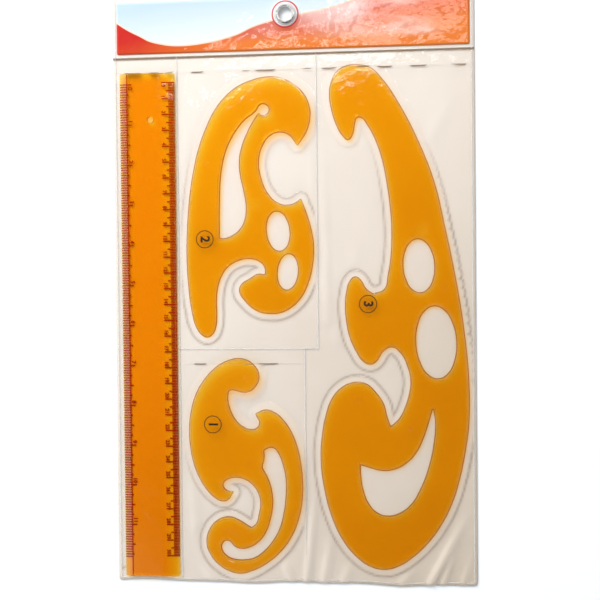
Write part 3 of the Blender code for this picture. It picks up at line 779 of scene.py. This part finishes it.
def roundCorners(bm, box, radius):
    left, bottom, right, top = box
    for point in bm.verts:
        for sideX, x in ((1, left), (-1, right)):
            for sideY, y in ((1, bottom), (-1, top)):
                inner = Vector((x + sideX * radius, y + sideY * radius))
                away = Vector((point.co.x, point.co.y)) - inner
                if away.x * sideX < 0 and away.y * sideY < 0 and away.length > radius:
                    away = away.normalized() * radius
                    point.co.x, point.co.y = inner.x + away.x, inner.y + away.y


def pocketShape(bed, name, edges):
    # clear film: over the instrument, down to the back sheet around it, flat at the welds
    left, bottom, right, top, weldAt = edges
    low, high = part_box(instruments[name]["node"])
    axis = jointAxis(name + "_slide")
    slope = axis.z / axis.y
    thickness = instruments[name]["thickness"]
    look = walletLook

    def shape(spot):
        gap = bed.outside(name, spot)
        fromSide = min(spot.x - left, right - spot.x, spot.y - weldAt)
        base = bed.wave(spot, gap) + look["filmLevel"] * mm
        under = low.z + (spot.y - low.y) * slope
        roof = under + thickness + look["filmGap"] * mm
        if name == "ruler":
            inch, centimetre = spot.x - low.x, high.x - spot.x
            drop = max(0.0, 1 - inch / (4 * mm)) + 1.2 * max(0.0, 1 - centimetre / (10 * mm))
            roof = max(roof - drop * mm, under + (1.2 + look["filmGap"]) * mm)
        crease = 0.0
        if gap > 0:
            reach = min(look["cling"] * mm, gap + max(fromSide, 0.0))
            fall = min(gap / reach, 1.0)
            past = (gap - reach) / (look["creaseWidth"] * mm)
            ridge = math.exp(-past ** 2)
            settled = smooth((top - 30 * mm - spot.y) / (70 * mm))
            raised = base + (roof - base) * (1 - fall) ** 1.3 + ridge * look["creaseHeight"] * mm * settled
            # painted shade: a dark line just past where the film comes down onto the back sheet
            crease = look["paintedShadeStrength"] * math.exp(-(past + 0.6) ** 2 * 2.0) * settled
        else:
            raised = roof + abs(noise.noise((spot.x * 45, spot.y * 30, 7.7))) * 0.06 * mm
        fromMouth = top - spot.y
        lift = noise.noise((spot.x * 85, 0.3, 1.7)) + 0.25
        if gap > 0 and lift > 0:
            near = smooth(1 - fromMouth / (9 * mm)) * smooth(gap / (6 * mm))
            raised += lift * look["mouthLift"] * mm * near
        # painted shade: dark dashes along the mouth's edge, standing in for the shadow in the gap where it
        # lifts
        if fromMouth < 0.9 * mm:
            crease = max(crease, smooth((noise.noise((spot.x * 95, 2.0, 9.1)) + 0.05) * 5))
        weld = smooth(fromSide / (look["weldRun"] * mm))
        return base + (raised - base) * weld, crease * smooth((fromSide - 0.9 * mm) / (2 * mm))
    return shape


def lipShape(bed):
    # the strip of film left between a pocket's mouth and the weld above or below it
    def shape(spot):
        roll = noise.noise((spot.x * 40, spot.y * 60, 5.5)) * 0.5 + 0.5
        return walletLook["filmLevel"] * mm + bed.wave(spot, 9 * mm) * 0.5 + roll * 0.25 * mm, 0.0
    return shape


def pocket(bed, name, nodes, pieceName, finish, cell, weldAt=None, cut=None, inner=None):
    corners = [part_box(node) for node in nodes]
    low = Vector([min(pair[0][axis] for pair in corners) for axis in range(3)])
    high = Vector([max(pair[1][axis] for pair in corners) for axis in range(3)])
    own = corners[0]
    plain = pocketShape(bed, name, (own[0].x, own[0].y, own[1].x, own[1].y, weldAt or own[0].y))
    lip = lipShape(bed)

    def shape(spot):
        if weldAt and spot.y < weldAt:
            return lip(spot)
        height, crease = plain(spot)
        if inner and spot.y > inner[1]:
            level = walletLook["filmLevel"] * mm
            share = smooth((spot.x - inner[0]) / (walletLook["weldRun"] * mm))
            return level + (height - level) * share, crease * share
        return height, crease

    piece = gridSheet(pieceName, (low.x, low.y, high.x, high.y), cell, shape, walletLook["film"] * mm,
                      finish, nodes, cut=cut)
    return piece


def weldBead(bm, first, second):
    # low rounded bead pressed into the sheets along a weld
    line = second - first
    steps = max(2, round(line.length / (3 * mm)))
    side = Vector((-line.y, line.x)).normalized()
    section = [(-0.42, 0.0), (-0.34, 0.16), (-0.12, 0.24), (0.12, 0.24), (0.34, 0.16), (0.42, 0.0)]
    corners = []
    for across, up in section:
        spot = first + side * across * mm
        corners.append(bm.verts.new((spot.x, spot.y, 0.83 * mm + up * mm)))
    face = bm.faces.new(corners)
    for step in range(steps):
        grown = bmesh.ops.extrude_face_region(bm, geom=[face], use_keep_orig=step == 0)
        fresh = [item for item in grown["geom"] if isinstance(item, bmesh.types.BMVert)]
        bmesh.ops.translate(bm, vec=(line.x / steps, line.y / steps, 0.0), verts=fresh)
        face = next(item for item in grown["geom"] if isinstance(item, bmesh.types.BMFace))


eyeletLook = {"bore": 4.2, "barrel": 4.6, "hole": 4.95}  # radii in millimetres


def eyeletPiece(finish):
    # the turned rim behind, then up the barrel, round the flange and down the bore
    low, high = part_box("eyelet")
    centre = (low + high) / 2
    flange = (high.x - low.x) / 2 / mm
    bore, barrel = eyeletLook["bore"], eyeletLook["barrel"]
    top = high.z / mm
    profile = [
        (bore, 0.35), (bore + 0.1, 0.12), (barrel + 0.1, 0.0), (5.4, 0.02), (5.85, 0.1), (6.0, 0.22),
        (5.85, 0.38), (5.3, 0.42), (barrel, 0.42),
        (barrel, top - 0.62), (flange - 0.15, top - 0.62), (flange, top - 0.52),
        (flange - 0.08, top - 0.38), (flange - 0.6, top - 0.14), (flange - 1.2, top - 0.02),
        (flange - 1.6, top), (barrel + 0.1, top - 0.06), (bore + 0.12, top - 0.24), (bore, top - 0.55),
    ]
    bm = bmesh.new()
    corners = [bm.verts.new((radius * mm, 0.0, height * mm)) for radius, height in profile]
    edges = [bm.edges.new((corners[i - 1], corners[i])) for i in range(len(corners))]
    bmesh.ops.spin(bm, geom=corners + edges, cent=(0, 0, 0), axis=(0, 0, 1), angle=2 * math.pi,
                   steps=72, use_merge=True)
    bmesh.ops.remove_doubles(bm, verts=bm.verts, dist=0.001 * mm)
    bmesh.ops.recalc_face_normals(bm, faces=bm.faces)
    bmesh.ops.translate(bm, verts=bm.verts, vec=(centre.x, centre.y, 0.0))
    return finishMesh(bm, "eyeletRing", finish, "wallet", ["eyelet"], 35)


# making

for name, values in instruments.items():
    values["loops"] = flatLoops(name)
print("outlines read")

amber = amberFinish("amberPlastic", amberLook["density"])
amberRuler = amberFinish("amberRulerPlastic", amberLook["rulerDensity"])
for name in ("large_curve", "medium_curve", "small_curve"):
    frenchCurve(name, amber)
rulerPiece(amberRuler)
scaleInk = inkFinish("scaleInk", inkLook["scale"])
markInk = inkFinish("markInk", inkLook["mark"])
rulerScale(scaleInk)
for name in ("large_curve", "medium_curve", "small_curve"):
    indexMark(name, markInk)
print("instruments made")

bed = Bed()
back = backFinish()
film = filmFinish("clearVinyl")


def backShape(spot):
    gap = min(bed.outside(name, spot) for name in instruments)
    return bed.wave(spot, gap) + bed.seat(spot), 0.0


def cardShape(spot):
    return bed.seat(spot) + walletLook["cardLevel"] * mm, 0.0


def headerShape(spot):
    # over the card, pressed down at the weld below it, then the lip of the pockets
    if spot.y < headerWeld:
        height, _ = lip(spot)
        # painted shade: a dark line just below the header weld, along the card's foot
        return height, 0.75 * smooth(1.6 - abs(spot.y - headerWeld + 0.9 * mm) / (0.5 * mm))
    onCard = min(spot.x - cardLow.x + 1.2 * mm, cardHigh.x + 1.2 * mm - spot.x,
                 spot.y - cardLow.y + 1.2 * mm, cardHigh.y + 0.8 * mm - spot.y)
    rise = 0.55 * mm * smooth(onCard / (1.2 * mm))
    return walletLook["filmLevel"] * mm + rise + bed.seat(spot), 0.0


def boxOf(*names):
    corners = [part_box(name) for name in names]
    return (min(low.x for low, high in corners), min(low.y for low, high in corners),
            max(high.x for low, high in corners), max(high.y for low, high in corners))


hole = (bed.eyelet, eyeletLook["hole"] * mm)
backBox = boxOf("back_sheet")
backPiece = gridSheet("backSheet", backBox, walletLook["backCell"], backShape, walletLook["back"] * mm,
                      back, ["back_sheet"], hole=hole, corner=2.5 * mm)
cardLow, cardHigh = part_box("header_card")
gridSheet("headerCard", boxOf("header_card"), 1.2, cardShape, walletLook["card"] * mm,
          cardFinish(cardLow, cardHigh, bed.eyelet), ["header_card"],
          hole=hole, corner=1.0 * mm)
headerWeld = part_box("header_film")[0].y
lip = lipShape(bed)
headerBox = boxOf("header_film", "upper_lip_strip")
headerPiece = gridSheet("headerFilm", headerBox, walletLook["cell"], headerShape, walletLook["film"] * mm,
                        film, ["header_film", "upper_lip_strip"], hole=hole)
print("back and header made")

mediumLow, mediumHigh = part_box("medium_curve_pocket_film")
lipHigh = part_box("lower_lip_strip")[1]
cell, wideCell = walletLook["cell"], walletLook["wideCell"]
pocket(bed, "ruler", ["ruler_pocket_film"], "rulerPocket", film, cell)
pocket(bed, "medium_curve", ["medium_curve_pocket_film", "lower_lip_strip"], "mediumCurvePocket", film,
       cell, weldAt=mediumLow.y, cut={"x": lipHigh.x, "y": mediumLow.y, "sideX": 1, "sideY": -1})
pocket(bed, "small_curve", ["small_curve_pocket_film"], "smallCurvePocket", film, cell)
jog = (mediumHigh.x + 0.3 * mm, mediumLow.y)
pocket(bed, "large_curve", ["large_curve_pocket_film"], "largeCurvePocket", film, wideCell,
       cut={"x": jog[0], "y": jog[1], "sideX": -1, "sideY": 1}, inner=jog)
print("pockets made")

low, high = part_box("back_sheet")
firstWeld = (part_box("ruler_pocket_film")[1].x + mediumLow.x) / 2
upperWeld = mediumHigh.x + 0.15 * mm
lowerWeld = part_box("small_curve_pocket_film")[1].x + 0.15 * mm
middleWeld = mediumLow.y - 0.15 * mm
margin = 1.9 * mm
inner = (low.x + margin, low.y + margin, high.x - margin, high.y - 1.0 * mm)
weldLines = [
    (Vector((inner[0], inner[1])), Vector((inner[0], inner[3]))),
    (Vector((inner[2], inner[1])), Vector((inner[2], inner[3]))),
    (Vector((inner[0], inner[1])), Vector((inner[2], inner[1]))),
    (Vector((low.x + 1 * mm, headerWeld)), Vector((high.x - 1 * mm, headerWeld))),
    (Vector((firstWeld, inner[1])), Vector((firstWeld, headerWeld))),
    (Vector((upperWeld, middleWeld)), Vector((upperWeld, headerWeld))),
    (Vector((lowerWeld, inner[1])), Vector((lowerWeld, middleWeld))),
    (Vector((firstWeld, middleWeld)), Vector((upperWeld, middleWeld))),
]
bm = bmesh.new()
for first, second in weldLines:
    weldBead(bm, first, second)
for point in bm.verts:
    point.co.y = bed.foot(point.co.x, point.co.y)
bmesh.ops.recalc_face_normals(bm, faces=bm.faces)
finishMesh(bm, "weldLines", filmFinish("weldVinyl", 0.22), "wallet", (), 50)
eyeletPiece(nickelFinish())
print("welds and eyelet made")


# stage

stageLook = {
    "camera": (58.6, 3.6, 592.0), "turn": (-1.0, 5.21, -0.55), "lens": 56.87,
    "exposure": 0.13, "world": 1.3, "lean": (-0.3, 0.3, 0.0),
    "sky": [(0.0, 0.35), (0.45, 0.8), (0.86, 0.65), (0.94, 0.02)],
}


lampLook = {
    "keyLamp": {"place": (-0.45, 0.80, 0.66), "target": (0.0, 0.0, 0.0), "size": (0.7, 0.7),
                "power": 11.5, "onlyGlare": False},
    "leftGlare": {"place": (-0.182, 0.428, 1.20), "target": (-0.02, 0.144, 0.0), "size": (0.20, 0.035),
                  "power": 0.2, "onlyGlare": True},
    "rightGlare": {"place": (0.010, 0.436, 1.20), "target": (0.04, 0.146, 0.0), "size": (0.16, 0.035),
                   "power": 0.16, "onlyGlare": True},
    "headerGlare": {"place": (0.10, 0.52, 1.20), "target": (0.07, 0.17, 0.0), "size": (0.24, 0.10),
                    "power": 0.38, "onlyGlare": True},
}


def softRoom():
    # light from all round, brighter from behind the left shoulder, dark overhead
    room = bpy.data.worlds.new("softRoom")
    room.use_nodes = True
    tree = room.node_tree

    def node(kind, *links):
        made = tree.nodes.new(kind)
        for index, value in enumerate(links):
            if isinstance(value, bpy.types.NodeSocket):
                tree.links.new(value, made.inputs[index])
            else:
                made.inputs[index].default_value = value
        return made

    direction = node("ShaderNodeTexCoord").outputs["Generated"]
    height = node("ShaderNodeSeparateXYZ", direction).outputs["Z"]
    ramp = node("ShaderNodeValToRGB", height)
    for index, (place, level) in enumerate(stageLook["sky"]):
        if index > 1:
            ramp.color_ramp.elements.new(place)
        ramp.color_ramp.elements[index].position = place
        ramp.color_ramp.elements[index].color = (level * 0.985, level * 0.99, level, 1.0)
    side = node("ShaderNodeVectorMath", direction, stageLook["lean"])
    side.operation = "DOT_PRODUCT"
    push = node("ShaderNodeMath", side.outputs["Value"], 1.0)
    push.operation = "ADD"
    strength = node("ShaderNodeMath", push.outputs[0], stageLook["world"])
    strength.operation = "MULTIPLY"
    tree.links.new(ramp.outputs[0], tree.nodes["Background"].inputs[0])
    tree.links.new(strength.outputs[0], tree.nodes["Background"].inputs[1])
    return room


def studio():
    scene = bpy.context.scene
    scene.view_settings.view_transform = "Standard"
    scene.view_settings.exposure = stageLook["exposure"]
    bm = bmesh.new()
    bmesh.ops.create_grid(bm, x_segments=1, y_segments=1, size=3.0)
    mesh = bpy.data.meshes.new("floor")
    bm.to_mesh(mesh)
    bm.free()
    floor = bpy.data.objects.new("floor", mesh)
    floor.location.z = -0.0002
    graph = Graph("paleFloor")
    graph.set({"Base Color": (0.90, 0.93, 0.95, 1.0), "Roughness": 0.6})
    mesh.materials.append(graph.material)
    scene.collection.objects.link(floor)
    scene.world = softRoom()
    for name, lamp in lampLook.items():
        light = bpy.data.lights.new(name, "AREA")
        light.shape = "RECTANGLE"
        light.size, light.size_y = lamp["size"]
        light.energy = lamp["power"]
        holder = bpy.data.objects.new(name, light)
        holder.location = lamp["place"]
        aim = Vector(lamp["target"]) - Vector(lamp["place"])
        holder.rotation_euler = aim.to_track_quat("-Z", "Y").to_euler()
        holder.visible_diffuse = holder.visible_transmission = not lamp["onlyGlare"]
        holder.visible_glossy = lamp["onlyGlare"]
        scene.collection.objects.link(holder)
    camera = bpy.data.objects.new("camera", bpy.data.cameras.new("camera"))
    camera.data.lens = stageLook["lens"]
    camera.data.sensor_width = 36.0
    camera.data.clip_start = 0.01
    camera.location = Vector(stageLook["camera"]) * mm
    camera.rotation_euler = tuple(math.radians(angle) for angle in stageLook["turn"])
    scene.collection.objects.link(camera)
    scene.camera = camera


studio()
print("studio made")
